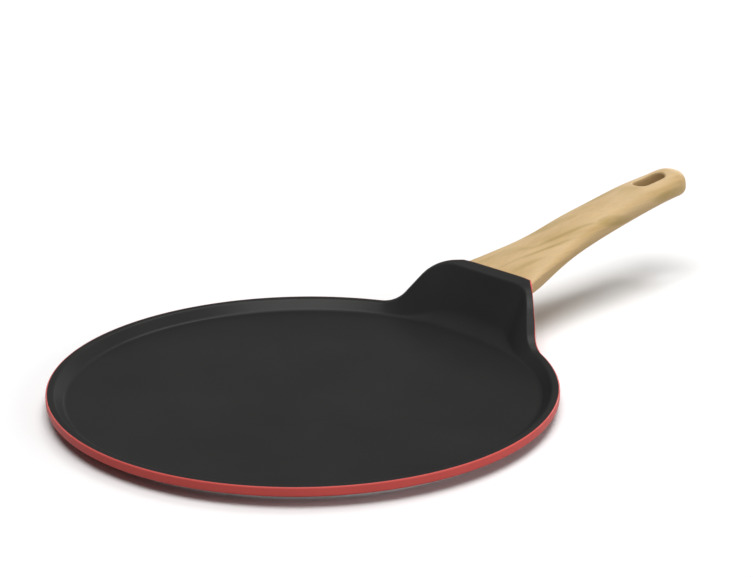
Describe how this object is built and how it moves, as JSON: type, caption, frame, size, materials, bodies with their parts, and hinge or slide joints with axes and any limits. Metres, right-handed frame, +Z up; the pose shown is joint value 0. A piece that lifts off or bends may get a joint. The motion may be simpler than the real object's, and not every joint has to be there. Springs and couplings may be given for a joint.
{
  "type": "crepe pan",
  "caption": "Flat round crepe pan with a low rim, a raised splash tab, a wooden handle with a hanging slot, and an induction base.",
  "frame": {"origin": "centre of the pan's base, on the surface that it stands on", "axes": "+Z up, +X from the pan's centre to the handle's tip, and the XZ plane halves the pan"},
  "size_m": [0.4723, 0.2824, 0.0676],
  "materials": {
    "cast_aluminium": "satin, fine turned marks on the foot",
    "nonstick": "matte black non-stick coating",
    "red_enamel": "satin red coating",
    "stainless_disc": "circular brushed",
    "olive_wood": "satin, light wood with long dark veins",
    "hardware_steel": "zinc-plated satin"
  },
  "bodies": {
    "root": {"pan_body": "cast_aluminium", "nonstick_coating": "nonstick", "exterior_enamel": "red_enamel", "induction_disc": "stainless_disc", "handle": "olive_wood", "thread_insert": "hardware_steel", "handle_screw": "hardware_steel", "flat_washer": "hardware_steel", "spring_washer": "hardware_steel"}
  },
  "joints": []
}
